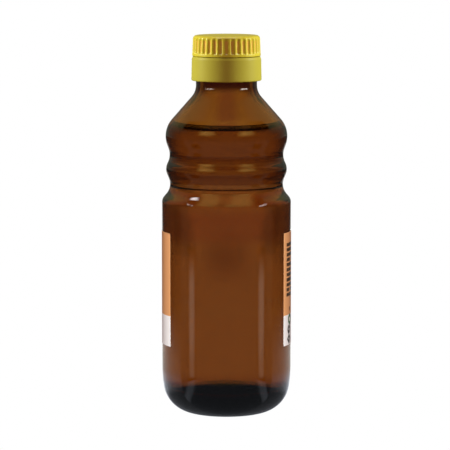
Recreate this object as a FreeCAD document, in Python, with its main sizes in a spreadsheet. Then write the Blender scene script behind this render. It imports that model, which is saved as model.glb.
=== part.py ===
"""Pumpkin seed oil bottle: a quarter-litre amber glass bottle with a grooved waist, a fluted screw cap,
a smooth collar, a paper label on either side and the oil inside.

Origin at the middle of the foot, +Z up. The glass is bare towards -Y and +Y, between the two labels.
All sizes are millimetres.
"""
import FreeCAD, Part
import Sketcher
import math
import os

Vector = FreeCAD.Vector
UP = Vector(0, 0, 1)
DOWN = Vector(0, 0, -1)
START, END, CENTRE = 1, 2, 3
H_AXIS, V_AXIS = -1, -2
ORIGIN = (H_AXIS, START)

# ---------------------------------------------------------------- sizes

DRIVING_SIZES = (
    # body: the glass is thicker from the waist's rib upwards
    ("body_radius", 28.5), ("corner_height", 93.6), ("wall", 2.1), ("waist_wall", 2.9),
    # foot and heel
    ("foot_width", 1.2), ("heel_arc", 13.4), ("heel_rise", 20.5), ("draw_arc", 57.5),
    ("punt_height", 6.0), ("base_thickness", 9.6), ("floor_dome_arc", 40.0), ("floor_arc", 6.0),
    # waist: each crest or groove is set in from the body, stands above the one below and has its own arc
    ("corner_arc", 3.8),
    ("lower_groove_depth", 3.55), ("lower_groove_rise", 8.05), ("lower_groove_arc", 6.7),
    ("rib_depth", 1.85), ("rib_rise", 6.6), ("rib_arc", 6.05),
    ("upper_groove_depth", 3.4), ("upper_groove_rise", 6.4), ("upper_groove_arc", 7.85),
    ("bulge_depth", 1.65), ("bulge_rise", 8.2), ("bulge_arc", 11.3),
    # neck and mouth
    ("neck_radius", 13.45), ("neck_rise", 22.5), ("neck_arc", 7.85), ("neck_wall", 3.0),
    ("ledge_rise", 7.9), ("ledge_width", 0.7), ("finish_rise", 12.35), ("lip_arc", 0.8),
    # oil
    ("headspace", 19.35),
    # collar
    ("collar_clearance", 0.25), ("collar_wall", 1.75), ("collar_drop", 5.85), ("collar_gap", 0.25),
    ("collar_draft", 0.2), ("collar_bevel_rise", 1.15), ("collar_bevel", 0.35), ("collar_edge_arc", 0.5),
    # screw cap
    ("cap_clearance", 0.25), ("cap_wall", 2.1), ("cap_top", 1.7), ("cap_skirt", 7.35),
    ("cap_draft", 0.3), ("cap_edge_arc", 1.65),
    # flutes of the cap
    ("flute_count", 36), ("flute_arc", 1.25), ("flute_depth", 0.57),
    ("flute_foot", 1.15), ("flute_head", 1.0),
    # labels: label_gap is the bare angle between them on the -Y side
    ("label_thickness", 0.12), ("label_foot_gap", 10.55), ("label_head_gap", 12.45),
    ("label_angle", 100.0), ("label_gap", 122.0), ("label_turn", 1.0),
)

DERIVED_SIZES = (
    # waist radii and heights
    ("corner_centre", "body_radius - corner_arc"),
    ("corner_inner_arc", "corner_arc - wall"),
    ("lower_groove_height", "corner_height + lower_groove_rise"),
    ("lower_groove_centre", "body_radius - lower_groove_depth + lower_groove_arc"),
    ("lower_groove_inner_arc", "lower_groove_arc + wall"),
    ("rib_height", "lower_groove_height + rib_rise"),
    ("rib_centre", "body_radius - rib_depth - rib_arc"),
    ("rib_inner_arc", "rib_arc - waist_wall"),
    ("upper_groove_height", "rib_height + upper_groove_rise"),
    ("upper_groove_centre", "body_radius - upper_groove_depth + upper_groove_arc"),
    ("upper_groove_inner_arc", "upper_groove_arc + waist_wall"),
    ("bulge_height", "upper_groove_height + bulge_rise"),
    ("bulge_centre", "body_radius - bulge_depth - bulge_arc"),
    ("bulge_inner_arc", "bulge_arc - waist_wall"),
    ("neck_height", "bulge_height + neck_rise"),
    ("neck_centre", "neck_radius + neck_arc"),
    ("neck_inner_arc", "neck_arc + neck_wall"),
    ("bore_radius", "neck_radius - neck_wall"),
    ("ledge_height", "neck_height + ledge_rise"),
    ("finish_radius", "neck_radius - ledge_width"),
    ("mouth_height", "ledge_height + finish_rise"),
    # heel and floor
    ("draw_centre", "body_radius - draw_arc"),
    ("draw_inner_arc", "draw_arc - wall"),
    ("heel_centre", "draw_centre + sqrt((draw_arc - heel_arc)^2 - (heel_rise - heel_arc)^2)"),
    ("punt_radius", "heel_centre - foot_width"),
    ("punt_arc", "(punt_radius^2 + punt_height^2) / (2 * punt_height)"),
    ("floor_height", "punt_height + base_thickness"),
    # oil
    ("oil_level", "neck_height - headspace"),
    # collar
    ("collar_bore", "neck_radius + collar_clearance"),
    ("collar_upper_bore", "finish_radius + collar_clearance"),
    ("collar_radius", "collar_bore + collar_wall"),
    ("collar_foot", "ledge_height - collar_drop"),
    ("collar_head", "skirt_foot - collar_gap"),
    ("collar_bevel_foot", "collar_head - collar_bevel_rise"),
    ("collar_shoulder_radius", "collar_radius - collar_draft"),
    ("collar_head_radius", "collar_shoulder_radius - collar_bevel"),
    # screw cap
    ("cap_bore", "finish_radius + cap_clearance"),
    ("skirt_radius", "cap_bore + cap_wall"),
    ("skirt_foot", "mouth_height - cap_skirt"),
    ("cap_height", "mouth_height + cap_top"),
    ("cap_crown_radius", "skirt_radius - cap_draft"),
    ("flute_axis", "skirt_radius - flute_depth + flute_arc"),
    ("flute_low", "skirt_foot + flute_foot"),
    ("flute_high", "cap_height - flute_head"),
    # labels
    ("label_radius", "body_radius + label_thickness"),
    ("label_foot", "heel_rise + label_foot_gap"),
    ("label_head", "corner_height - label_head_gap"),
    ("left_label_turn", "180 - label_gap / 2 - label_angle / 2 + label_turn"),
    ("right_label_turn", "180 - label_gap / 2 - label_angle / 2 - label_turn"),
)


def make_sheet(document):
    """Fill the spreadsheet: driving sizes as plain numbers, derived ones as formulas."""
    sheet = document.addObject("Spreadsheet::Sheet", "Sizes")
    rows = [(name, str(number)) for name, number in DRIVING_SIZES]
    rows += [(name, "=" + formula) for name, formula in DERIVED_SIZES]
    for row, (name, content) in enumerate(rows, start=1):
        sheet.set("A%d" % row, name)
        sheet.setAlias("B%d" % row, name)
    document.recompute()
    for row, (name, content) in enumerate(rows, start=1):
        sheet.set("B%d" % row, content)
    document.recompute()
    return sheet


doc = FreeCAD.newDocument("OilBottle")
sizes = make_sheet(doc)


def size(name):
    return float(sizes.get(name))


# ---------------------------------------------------------------- sketching

class Profile:
    """A closed outline on one of a body's own origin planes, dimensioned from the spreadsheet."""

    def __init__(self, body, name, plane="XZ_Plane"):
        self.sketch = body.newObject("Sketcher::SketchObject", name)
        support = [part for part in body.Origin.OriginFeatures if part.Role == plane][0]
        self.sketch.AttachmentSupport = (support, [""])
        self.sketch.MapMode = "FlatFace"

    def line(self, start, end, construction=False):
        return self.sketch.addGeometry(Part.LineSegment(Vector(*start, 0), Vector(*end, 0)), construction)

    def arc(self, centre, radius, low, high):
        """An arc drawn counter-clockwise from angle low to angle high, in radians."""
        circle = Part.Circle(Vector(*centre, 0), UP, radius)
        return self.sketch.addGeometry(Part.ArcOfCircle(circle, low, high))

    def constrain(self, kind, *where):
        return self.sketch.addConstraint(Sketcher.Constraint(kind, *where))

    def bind(self, kind, where, alias):
        """Add a dimension and bind it to a cell of the spreadsheet."""
        index = self.constrain(kind, *where, size(alias))
        label = "%s_%d" % (alias, index)
        self.sketch.renameConstraint(index, label)
        self.sketch.setExpression("Constraints." + label, "%s.%s" % (sizes.Name, alias))

    def across(self, point, alias):
        """The point's distance from the vertical axis."""
        self.bind("DistanceX", (*ORIGIN, *point), alias)

    def above(self, point, alias):
        """The point's height over the foot."""
        self.bind("DistanceY", (*ORIGIN, *point), alias)

    def place_arc(self, arc, centre_alias, height_alias, arc_alias):
        """Fix an arc's centre, height and radius."""
        self.across((arc, CENTRE), centre_alias)
        self.above((arc, CENTRE), height_alias)
        self.bind("Radius", (arc,), arc_alias)

    def join(self, first, second):
        self.constrain("Coincident", *first, *second)

    def smooth(self, first, second):
        self.constrain("Tangent", *first, *second)


def common_tangent(lower, upper):
    """Angle of the outward normal of the straight line that joins two arcs of the waist.
    Each arc is (centre radius, centre height, arc radius, side), side +1 for a crest, -1 for a groove."""
    across = upper[0] - lower[0]
    rise = upper[1] - lower[1]
    lean = math.atan2(rise, across)
    swing = math.acos((lower[3] * lower[2] - upper[3] * upper[2]) / math.hypot(across, rise))
    return min((lean - swing, lean + swing), key=abs)


# ---------------------------------------------------------------- glass

CREST, GROOVE = 1, -1
WAIST = (("corner", CREST), ("lower_groove", GROOVE), ("rib", CREST), ("upper_groove", GROOVE),
         ("bulge", CREST), ("neck", GROOVE))


def draw_waist(profile, below, below_point, arc_suffix):
    """Draw the waist from the straight body up to the neck, as crests and grooves joined by tangent lines.
    Return the upper end of its last arc."""
    rings = [(size(name + "_centre"), size(name + "_height"), size(name + arc_suffix), side)
             for name, side in WAIST]
    normals = [0.0] + [common_tangent(*pair) for pair in zip(rings, rings[1:])] + [0.0]
    tail, tail_point = below, below_point
    for (name, side), ring, first, last in zip(WAIST, rings, normals, normals[1:]):
        centre_radius, height, radius, _ = ring
        if side == CREST:
            arc = profile.arc((centre_radius, height), radius, first, last)
            low_end, high_end = (arc, START), (arc, END)
        else:
            arc = profile.arc((centre_radius, height), radius, math.pi + last, math.pi + first)
            low_end, high_end = (arc, END), (arc, START)
        low = (centre_radius + side * radius * math.cos(first), height + side * radius * math.sin(first))
        line = profile.line(tail_point, low)
        profile.place_arc(arc, name + "_centre", name + "_height", name + arc_suffix)
        profile.smooth(tail, (line, START))
        profile.smooth((line, END), low_end)
        tail = high_end
        tail_point = (centre_radius + side * radius * math.cos(last), height + side * radius * math.sin(last))
    return tail, tail_point


def draw_outside(body):
    """Half-section of the bottle's outside: punt, foot, heel, body, waist, neck, ledge and lip."""
    profile = Profile(body, "OutsideSection")
    heel_centre, heel_arc = size("heel_centre"), size("heel_arc")
    punt_radius, punt_height, punt_arc = size("punt_radius"), size("punt_height"), size("punt_arc")
    heel_turn = math.asin((size("heel_rise") - heel_arc) / (size("draw_arc") - heel_arc))

    punt = profile.arc((0, punt_height - punt_arc), punt_arc, math.acos(punt_radius / punt_arc), math.pi / 2)
    foot = profile.line((punt_radius, 0), (heel_centre, 0))
    heel = profile.arc((heel_centre, heel_arc), heel_arc, -math.pi / 2, -heel_turn)
    draw = profile.arc((size("draw_centre"), size("heel_rise")), size("draw_arc"), -heel_turn, 0)
    profile.constrain("PointOnObject", punt, CENTRE, V_AXIS)
    profile.constrain("PointOnObject", punt, END, V_AXIS)
    profile.above((punt, END), "punt_height")
    profile.join((punt, START), (foot, START))
    profile.constrain("PointOnObject", foot, START, H_AXIS)
    profile.constrain("PointOnObject", foot, END, H_AXIS)
    profile.bind("DistanceX", (foot, START, foot, END), "foot_width")
    profile.smooth((foot, END), (heel, START))
    profile.bind("Radius", (heel,), "heel_arc")
    profile.smooth((heel, END), (draw, START))
    profile.place_arc(draw, "draw_centre", "heel_rise", "draw_arc")

    tail, tail_point = draw_waist(profile, (draw, END), (size("body_radius"), size("heel_rise")), "_arc")

    neck_radius, finish_radius, lip_arc = size("neck_radius"), size("finish_radius"), size("lip_arc")
    ledge_height, mouth_height = size("ledge_height"), size("mouth_height")
    lip_radius, lip_height = finish_radius - lip_arc, mouth_height - lip_arc
    neck = profile.line(tail_point, (neck_radius, ledge_height))
    ledge = profile.line((neck_radius, ledge_height), (finish_radius, ledge_height))
    finish = profile.line((finish_radius, ledge_height), (finish_radius, lip_height))
    lip = profile.arc((lip_radius, lip_height), lip_arc, 0, math.pi / 2)
    mouth = profile.line((lip_radius, mouth_height), (0, mouth_height))
    axis = profile.line((0, mouth_height), (0, punt_height))
    profile.smooth(tail, (neck, START))
    profile.constrain("Vertical", neck)
    profile.above((neck, END), "ledge_height")
    profile.join((neck, END), (ledge, START))
    profile.constrain("Horizontal", ledge)
    profile.bind("DistanceX", (ledge, END, ledge, START), "ledge_width")
    profile.join((ledge, END), (finish, START))
    profile.constrain("Vertical", finish)
    profile.smooth((finish, END), (lip, START))
    profile.bind("Radius", (lip,), "lip_arc")
    profile.smooth((lip, END), (mouth, START))
    profile.constrain("Horizontal", mouth)
    profile.above((mouth, START), "mouth_height")
    profile.constrain("PointOnObject", mouth, END, V_AXIS)
    profile.join((mouth, END), (axis, START))
    profile.join((axis, END), (punt, END))
    return profile.sketch


def draw_cavity(body):
    """Half-section of the space inside the glass, from the domed floor to the mouth."""
    profile = Profile(body, "CavitySection")
    dome_arc, floor_arc = size("floor_dome_arc"), size("floor_arc")
    floor_height, draw_arc = size("floor_height"), size("draw_inner_arc")
    dome_centre = floor_height - dome_arc
    draw_centre, heel_rise = size("draw_centre"), size("heel_rise")

    # the inner heel touches the domed floor from above and the drawn-in wall from inside
    to_dome, to_draw = dome_arc + floor_arc, draw_arc - floor_arc
    span = math.hypot(draw_centre, heel_rise - dome_centre)
    along = (to_dome ** 2 - to_draw ** 2 + span ** 2) / (2 * span)
    beside = math.sqrt(to_dome ** 2 - along ** 2)
    toward = (draw_centre / span, (heel_rise - dome_centre) / span)
    heel_across = toward[0] * along + toward[1] * beside
    heel_height = dome_centre + toward[1] * along - toward[0] * beside
    dome_turn = math.atan2(heel_height - dome_centre, heel_across)
    draw_turn = math.asin((heel_rise - heel_height) / to_draw)

    dome = profile.arc((0, dome_centre), dome_arc, dome_turn, math.pi / 2)
    heel = profile.arc((heel_across, heel_height), floor_arc, dome_turn - math.pi, -draw_turn)
    draw = profile.arc((draw_centre, heel_rise), draw_arc, -draw_turn, 0)
    profile.constrain("PointOnObject", dome, CENTRE, V_AXIS)
    profile.constrain("PointOnObject", dome, END, V_AXIS)
    profile.above((dome, END), "floor_height")
    profile.bind("Radius", (dome,), "floor_dome_arc")
    profile.smooth((dome, START), (heel, START))
    profile.bind("Radius", (heel,), "floor_arc")
    profile.smooth((heel, END), (draw, START))
    profile.place_arc(draw, "draw_centre", "heel_rise", "draw_inner_arc")

    wall_start = (size("body_radius") - size("wall"), heel_rise)
    tail, tail_point = draw_waist(profile, (draw, END), wall_start, "_inner_arc")

    bore_radius, mouth_height = size("bore_radius"), size("mouth_height")
    bore = profile.line(tail_point, (bore_radius, mouth_height))
    mouth = profile.line((bore_radius, mouth_height), (0, mouth_height))
    axis = profile.line((0, mouth_height), (0, floor_height))
    profile.smooth(tail, (bore, START))
    profile.constrain("Vertical", bore)
    profile.above((bore, END), "mouth_height")
    profile.join((bore, END), (mouth, START))
    profile.constrain("Horizontal", mouth)
    profile.constrain("PointOnObject", mouth, END, V_AXIS)
    profile.join((mouth, END), (axis, START))
    profile.join((axis, END), (dome, END))
    return profile.sketch


def new_body(label):
    body = doc.addObject("PartDesign::Body", label)
    body.Label = label
    return body


def turn(body, kind, name, sketch, axis="V_Axis"):
    """Turn a section round an axis of its own sketch, as a Revolution or a Groove."""
    feature = body.newObject("PartDesign::" + kind, name)
    feature.Profile = sketch
    feature.ReferenceAxis = (sketch, [axis])
    feature.Angle = 360
    return feature


def make_bottle():
    bottle = new_body("glass_bottle")
    turn(bottle, "Revolution", "BottleForm", draw_outside(bottle))
    turn(bottle, "Groove", "BottleCavity", draw_cavity(bottle))
    return bottle


# ---------------------------------------------------------------- oil

def make_oil():
    """The oil fills the cavity up to its level: the cavity's own form, cut off above the level."""
    oil = new_body("seed_oil")
    turn(oil, "Revolution", "OilForm", draw_cavity(oil))
    cut = Profile(oil, "LevelSection", "XY_Plane")
    cut.sketch.AttachmentOffset = FreeCAD.Placement(Vector(0, 0, size("oil_level")), FreeCAD.Rotation())
    cut.sketch.setExpression("AttachmentOffset.Base.z", "%s.oil_level" % sizes.Name)
    ring = cut.sketch.addGeometry(Part.Circle(Vector(0, 0, 0), UP, size("body_radius")))
    cut.join((ring, CENTRE), ORIGIN)
    cut.bind("Radius", (ring,), "body_radius")
    level = oil.newObject("PartDesign::Pocket", "OilLevel")
    level.Profile = cut.sketch
    level.Type = "ThroughAll"
    level.Reversed = True
    return oil


# ---------------------------------------------------------------- closure

def make_collar():
    """The smooth ring below the cap. An inner lip sits on the neck's ledge; the rest hangs round the neck."""
    collar = new_body("collar")
    profile = Profile(collar, "CollarSection")
    foot, head, ledge = size("collar_foot"), size("collar_head"), size("ledge_height")
    bore, upper_bore, radius = size("collar_bore"), size("collar_upper_bore"), size("collar_radius")
    edge_arc, bevel_foot = size("collar_edge_arc"), size("collar_bevel_foot")
    shoulder_radius, head_radius = size("collar_shoulder_radius"), size("collar_head_radius")

    edge = profile.arc((radius - edge_arc, foot + edge_arc), edge_arc, -math.pi / 2, 0)
    side = profile.line((radius, foot + edge_arc), (shoulder_radius, bevel_foot))
    bevel = profile.line((shoulder_radius, bevel_foot), (head_radius, head))
    top = profile.line((head_radius, head), (upper_bore, head))
    upper = profile.line((upper_bore, head), (upper_bore, ledge))
    seat = profile.line((upper_bore, ledge), (bore, ledge))
    lower = profile.line((bore, ledge), (bore, foot))
    bottom = profile.line((bore, foot), (radius - edge_arc, foot))
    chain = (side, bevel, top, upper, seat, lower, bottom)
    for line, following in zip(chain, chain[1:]):
        profile.join((line, END), (following, START))
    profile.join((edge, END), (side, START))
    profile.smooth((bottom, END), (edge, START))
    for line in (top, seat, bottom):
        profile.constrain("Horizontal", line)
    for line in (upper, lower):
        profile.constrain("Vertical", line)
    profile.bind("Radius", (edge,), "collar_edge_arc")
    profile.constrain("Horizontal", edge, CENTRE, edge, END)
    profile.across((edge, END), "collar_radius")
    profile.above((bottom, END), "collar_foot")
    profile.across((side, END), "collar_shoulder_radius")
    profile.above((side, END), "collar_bevel_foot")
    profile.across((bevel, END), "collar_head_radius")
    profile.above((bevel, END), "collar_head")
    profile.across((top, END), "collar_upper_bore")
    profile.above((upper, END), "ledge_height")
    profile.across((seat, END), "collar_bore")
    turn(collar, "Revolution", "CollarRing", profile.sketch)
    return collar


def draw_cap(cap):
    """Half-section of the plain cap: a flat top on the mouth's rim and a skirt round the finish."""
    profile = Profile(cap, "CapSection")
    bore, foot, mouth_height = size("cap_bore"), size("skirt_foot"), size("mouth_height")
    height, edge_arc = size("cap_height"), size("cap_edge_arc")
    skirt_radius, crown_radius = size("skirt_radius"), size("cap_crown_radius")

    roof = profile.line((0, mouth_height), (bore, mouth_height))
    inside = profile.line((bore, mouth_height), (bore, foot))
    bottom = profile.line((bore, foot), (skirt_radius, foot))
    side = profile.line((skirt_radius, foot), (crown_radius, height - edge_arc))
    edge = profile.arc((crown_radius - edge_arc, height - edge_arc), edge_arc, 0, math.pi / 2)
    top = profile.line((crown_radius - edge_arc, height), (0, height))
    axis = profile.line((0, height), (0, mouth_height))
    for first, following in ((axis, roof), (roof, inside), (inside, bottom), (bottom, side), (top, axis)):
        profile.join((first, END), (following, START))
    profile.join((side, END), (edge, START))
    profile.smooth((edge, END), (top, START))
    for line in (roof, bottom, top):
        profile.constrain("Horizontal", line)
    profile.constrain("Vertical", inside)
    profile.constrain("PointOnObject", axis, START, V_AXIS)
    profile.constrain("PointOnObject", axis, END, V_AXIS)
    profile.above((roof, START), "mouth_height")
    profile.across((roof, END), "cap_bore")
    profile.above((inside, END), "skirt_foot")
    profile.across((bottom, END), "skirt_radius")
    profile.bind("Radius", (edge,), "cap_edge_arc")
    profile.constrain("Horizontal", edge, CENTRE, edge, START)
    profile.across((edge, START), "cap_crown_radius")
    profile.above((top, START), "cap_height")
    return profile.sketch


def draw_flute(cap):
    """Half-section of one flute's cutter: a round-ended rod that stands upright beside the skirt."""
    profile = Profile(cap, "FluteSection")
    axis_radius, arc = size("flute_axis"), size("flute_arc")
    low, high = size("flute_low"), size("flute_high")
    middle = profile.line((axis_radius, high), (axis_radius, low))
    lower_end = profile.arc((axis_radius, low + arc), arc, math.pi, 3 * math.pi / 2)
    side = profile.line((axis_radius - arc, low + arc), (axis_radius - arc, high - arc))
    upper_end = profile.arc((axis_radius, high - arc), arc, math.pi / 2, math.pi)
    profile.constrain("Vertical", middle)
    profile.across((middle, START), "flute_axis")
    profile.above((middle, START), "flute_high")
    profile.above((middle, END), "flute_low")
    profile.join((middle, END), (lower_end, END))
    profile.join((middle, START), (upper_end, START))
    for end in (lower_end, upper_end):
        profile.constrain("PointOnObject", end, CENTRE, middle)
        profile.bind("Radius", (end,), "flute_arc")
    profile.smooth((side, START), (lower_end, START))
    profile.smooth((side, END), (upper_end, END))
    rod = profile.line((axis_radius, low), (axis_radius, high), construction=True)
    profile.join((rod, START), (middle, END))
    profile.join((rod, END), (middle, START))
    return profile.sketch


def make_cap():
    cap = new_body("screw_cap")
    plain_section = draw_cap(cap)
    turn(cap, "Revolution", "CapForm", plain_section)
    flute = turn(cap, "Groove", "Flute", draw_flute(cap), "Axis0")
    flutes = cap.newObject("PartDesign::PolarPattern", "Flutes")
    flutes.Originals = [flute]
    flutes.Axis = (plain_section, ["V_Axis"])
    flutes.Angle = 360
    flutes.Occurrences = int(size("flute_count"))
    flutes.setExpression("Occurrences", "%s.flute_count" % sizes.Name)
    cap.Tip = flutes
    return cap


# ---------------------------------------------------------------- labels

def make_label(side, axis):
    """A paper label, curved to the body. It is drawn about +Y and turned to its side."""
    label = new_body(side + "_label")
    profile = Profile(label, side.title() + "LabelSection", "YZ_Plane")
    inner, outer = size("body_radius"), size("label_radius")
    foot, head = size("label_foot"), size("label_head")
    corners = ((inner, foot), (outer, foot), (outer, head), (inner, head))
    lines = [profile.line(start, end) for start, end in zip(corners, corners[1:] + corners[:1])]
    for line, following in zip(lines, lines[1:] + lines[:1]):
        profile.join((line, END), (following, START))
    for line, direction in zip(lines, ("Horizontal", "Vertical", "Horizontal", "Vertical")):
        profile.constrain(direction, line)
    profile.across((lines[0], START), "body_radius")
    profile.across((lines[0], END), "label_radius")
    profile.above((lines[0], START), "label_foot")
    profile.above((lines[1], END), "label_head")
    wrap = turn(label, "Revolution", side.title() + "LabelWrap", profile.sketch)
    wrap.Angle = size("label_angle")
    wrap.setExpression("Angle", "%s.label_angle" % sizes.Name)
    wrap.Midplane = True
    label.Placement = FreeCAD.Placement(Vector(0, 0, 0), axis, size(side + "_label_turn"))
    label.setExpression("Placement.Rotation.Angle", "%s.%s_label_turn" % (sizes.Name, side))
    return label


# ---------------------------------------------------------------- build and write

def check(document, pieces):
    """Stop if any feature failed or any piece is not one valid solid."""
    for item in document.Objects:
        if "Invalid" in item.State or "Error" in item.State:
            raise RuntimeError("%s failed: %s" % (item.Name, item.State))
    for piece in pieces:
        shape = piece.Shape
        if shape.isNull() or not shape.isValid() or len(shape.Solids) != 1:
            raise RuntimeError("%s is not one valid solid" % piece.Label)


pieces = [make_bottle(), make_oil(), make_collar(), make_cap()]
pieces += [make_label("left", UP), make_label("right", DOWN)]
doc.recompute()
check(doc, pieces)
os.makedirs("parts", exist_ok=True)
for piece in pieces:
    piece.Shape.exportStep("parts/%s.step" % piece.Label)
    box = piece.Shape.BoundBox
    print("%-14s volume %10.1f mm3   width %6.2f   depth %6.2f   height %6.2f"
          % (piece.Label, piece.Shape.Volume, box.XLength, box.YLength, box.ZLength))
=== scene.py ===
"""Pumpkin seed oil bottle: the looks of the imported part, its stage, its lights and its camera.

Everything is in metres, in the part's own frame: origin at the middle of the foot, +Z up, and the side
of the bottle that shows bare glass facing -Y, towards the camera.
"""
import math

import bpy
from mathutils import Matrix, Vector


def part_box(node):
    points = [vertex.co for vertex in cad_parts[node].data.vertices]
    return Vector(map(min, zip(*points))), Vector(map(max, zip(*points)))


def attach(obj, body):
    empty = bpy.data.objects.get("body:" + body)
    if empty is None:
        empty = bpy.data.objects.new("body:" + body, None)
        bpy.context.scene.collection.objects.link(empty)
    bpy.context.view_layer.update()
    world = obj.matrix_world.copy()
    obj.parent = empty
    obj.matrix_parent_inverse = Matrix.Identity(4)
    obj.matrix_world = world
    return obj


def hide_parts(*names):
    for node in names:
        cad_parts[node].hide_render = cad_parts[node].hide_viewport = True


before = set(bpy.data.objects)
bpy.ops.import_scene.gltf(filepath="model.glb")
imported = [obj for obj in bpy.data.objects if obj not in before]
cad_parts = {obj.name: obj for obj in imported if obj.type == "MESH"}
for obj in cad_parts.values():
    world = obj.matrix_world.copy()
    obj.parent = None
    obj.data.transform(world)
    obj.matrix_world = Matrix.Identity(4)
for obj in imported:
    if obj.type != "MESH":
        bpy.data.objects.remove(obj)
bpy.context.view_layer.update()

MM = 0.001
TURN = 2 * math.pi

# ---------------------------------------------------------------- sizes, as in the part's own source

BODY_RADIUS = 28.5 * MM
WALL, WAIST_WALL = 2.1 * MM, 2.9 * MM
FOOT_WIDTH = 1.2 * MM
HEEL_ARC, HEEL_RISE, DRAW_ARC = 13.4 * MM, 20.5 * MM, 57.5 * MM
PUNT_HEIGHT, FLOOR_HEIGHT, FLOOR_DOME_ARC, FLOOR_ARC = 6.0 * MM, 15.6 * MM, 40.0 * MM, 6.0 * MM
NECK_WALL = 3.0 * MM
LEDGE_HEIGHT, LEDGE_WIDTH, LIP_ARC = 153.25 * MM, 0.7 * MM, 0.8 * MM
MOUTH_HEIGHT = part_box("glass_bottle")[1].z
OIL_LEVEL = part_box("seed_oil")[1].z
CREST, GROOVE = 1, -1
# crests and grooves of the waist: radius at the crest or valley, its height, its arc, its side
WAIST = (
    (28.5 * MM, 93.6 * MM, 3.8 * MM, CREST),
    (24.95 * MM, 101.65 * MM, 6.7 * MM, GROOVE),
    (26.65 * MM, 108.25 * MM, 6.05 * MM, CREST),
    (25.1 * MM, 114.65 * MM, 7.85 * MM, GROOVE),
    (26.85 * MM, 122.85 * MM, 11.3 * MM, CREST),
    (13.45 * MM, 145.35 * MM, 7.85 * MM, GROOVE),
)
COLLAR_FOOT, COLLAR_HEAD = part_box("collar")[0].z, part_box("collar")[1].z
SKIRT_FOOT, CAP_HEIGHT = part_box("screw_cap")[0].z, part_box("screw_cap")[1].z
LABEL_FOOT, LABEL_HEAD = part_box("left_label")[0].z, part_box("left_label")[1].z
LABEL_THICKNESS = 0.12 * MM
# where each label starts and ends round the body, in degrees from -Y towards +X
LEFT_LABEL, RIGHT_LABEL = (-160, -60), (62, 162)

# ---------------------------------------------------------------- sizes of this script's own

GLASS_SEGMENTS, COLLAR_SEGMENTS = 224, 192
SHARP_EDGE, SHARP_FLUTE = math.radians(40), math.radians(50)
GLASS_IOR, OIL_IOR, PLASTIC_IOR = 1.52, 1.47, 1.5
# light lost per metre, for red, green and blue
GLASS_ABSORBS, OIL_ABSORBS = (238.0, 412.0, 765.0), (15.6, 26.8, 35.3)
GLASS_RIPPLE, OIL_RIPPLE, GRAIN_DEPTH = 0.03 * MM, 0.0, 0.02 * MM
# how far the oil reaches into the glass, and the radius of the fillet where its surface meets the wall
OIL_REACH, OIL_FILLET = 0.15 * MM, 1.6 * MM
WHITE_BAND_HEAD = LABEL_FOOT + 13.5 * MM
# azimuth of the near edge of the right label's print, from -Y towards +X
PRINT_START = math.radians(67.5)
TABLE_LEVEL = -0.5 * MM
BLACK, WHITE = (0, 0, 0), (1, 1, 1)


# ---------------------------------------------------------------- outlines

def arc_points(centre, radius, start, end, steps):
    """Points on an arc from one angle to another, both ends included."""
    angles = [start + (end - start) * i / steps for i in range(steps + 1)]
    return [(centre[0] + radius * math.cos(a), centre[1] + radius * math.sin(a)) for a in angles]


def line_points(start, end, steps):
    """Points along a straight line, both ends left out."""
    return [(start[0] + (end[0] - start[0]) * i / steps, start[1] + (end[1] - start[1]) * i / steps)
            for i in range(1, steps)]


def common_tangent(lower, upper):
    """Angle of the outward normal of the straight line that joins two arcs of the waist."""
    across, rise = upper[0] - lower[0], upper[1] - lower[1]
    lean = math.atan2(rise, across)
    swing = math.acos((lower[3] * lower[2] - upper[3] * upper[2]) / math.hypot(across, rise))
    return min((lean - swing, lean + swing), key=abs)


def waist_points(body_inset, waist_inset, neck_inset, arc_steps=22, line_steps=4):
    """The waist's outline, offset inwards from the outside: its arcs keep their centres."""
    rings, insets = [], [body_inset] * 2 + [waist_inset] * 3 + [neck_inset]
    for (radius, height, arc, side), depth in zip(WAIST, insets):
        rings.append((radius - side * arc, height, arc - side * depth, side))
    normals = [0.0] + [common_tangent(*pair) for pair in zip(rings, rings[1:])] + [0.0]
    points = []
    for ring, first, last in zip(rings, normals, normals[1:]):
        centre, height, arc, side = ring
        stretch = arc_points((centre, height), side * arc, first, last, arc_steps)
        if points:
            points += line_points(points[-1], stretch[0], line_steps)
        points += stretch
    return points


def outside_points():
    """Outline of the glass from the middle of the punt, round the foot and heel, up to the top of the lip."""
    draw_centre = BODY_RADIUS - DRAW_ARC
    heel_turn = math.asin((HEEL_RISE - HEEL_ARC) / (DRAW_ARC - HEEL_ARC))
    heel_centre = draw_centre + (DRAW_ARC - HEEL_ARC) * math.cos(heel_turn)
    punt_radius = heel_centre - FOOT_WIDTH
    punt_arc = (punt_radius ** 2 + PUNT_HEIGHT ** 2) / (2 * PUNT_HEIGHT)
    finish_radius = WAIST[-1][0] - LEDGE_WIDTH
    punt_turn = math.acos(punt_radius / punt_arc)
    points = arc_points((0, PUNT_HEIGHT - punt_arc), punt_arc, math.pi / 2, punt_turn, 20)
    points += arc_points((heel_centre, HEEL_ARC), HEEL_ARC, -math.pi / 2, -heel_turn, 40)
    points += arc_points((draw_centre, HEEL_RISE), DRAW_ARC, -heel_turn, 0, 12)[1:]
    points += line_points(points[-1], WAIST[0][:2], 24)
    points += waist_points(0, 0, 0)
    points += [(WAIST[-1][0], LEDGE_HEIGHT), (finish_radius, LEDGE_HEIGHT)]
    points += arc_points((finish_radius - LIP_ARC, MOUTH_HEIGHT - LIP_ARC), LIP_ARC, 0, math.pi / 2, 6)
    return points


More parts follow.
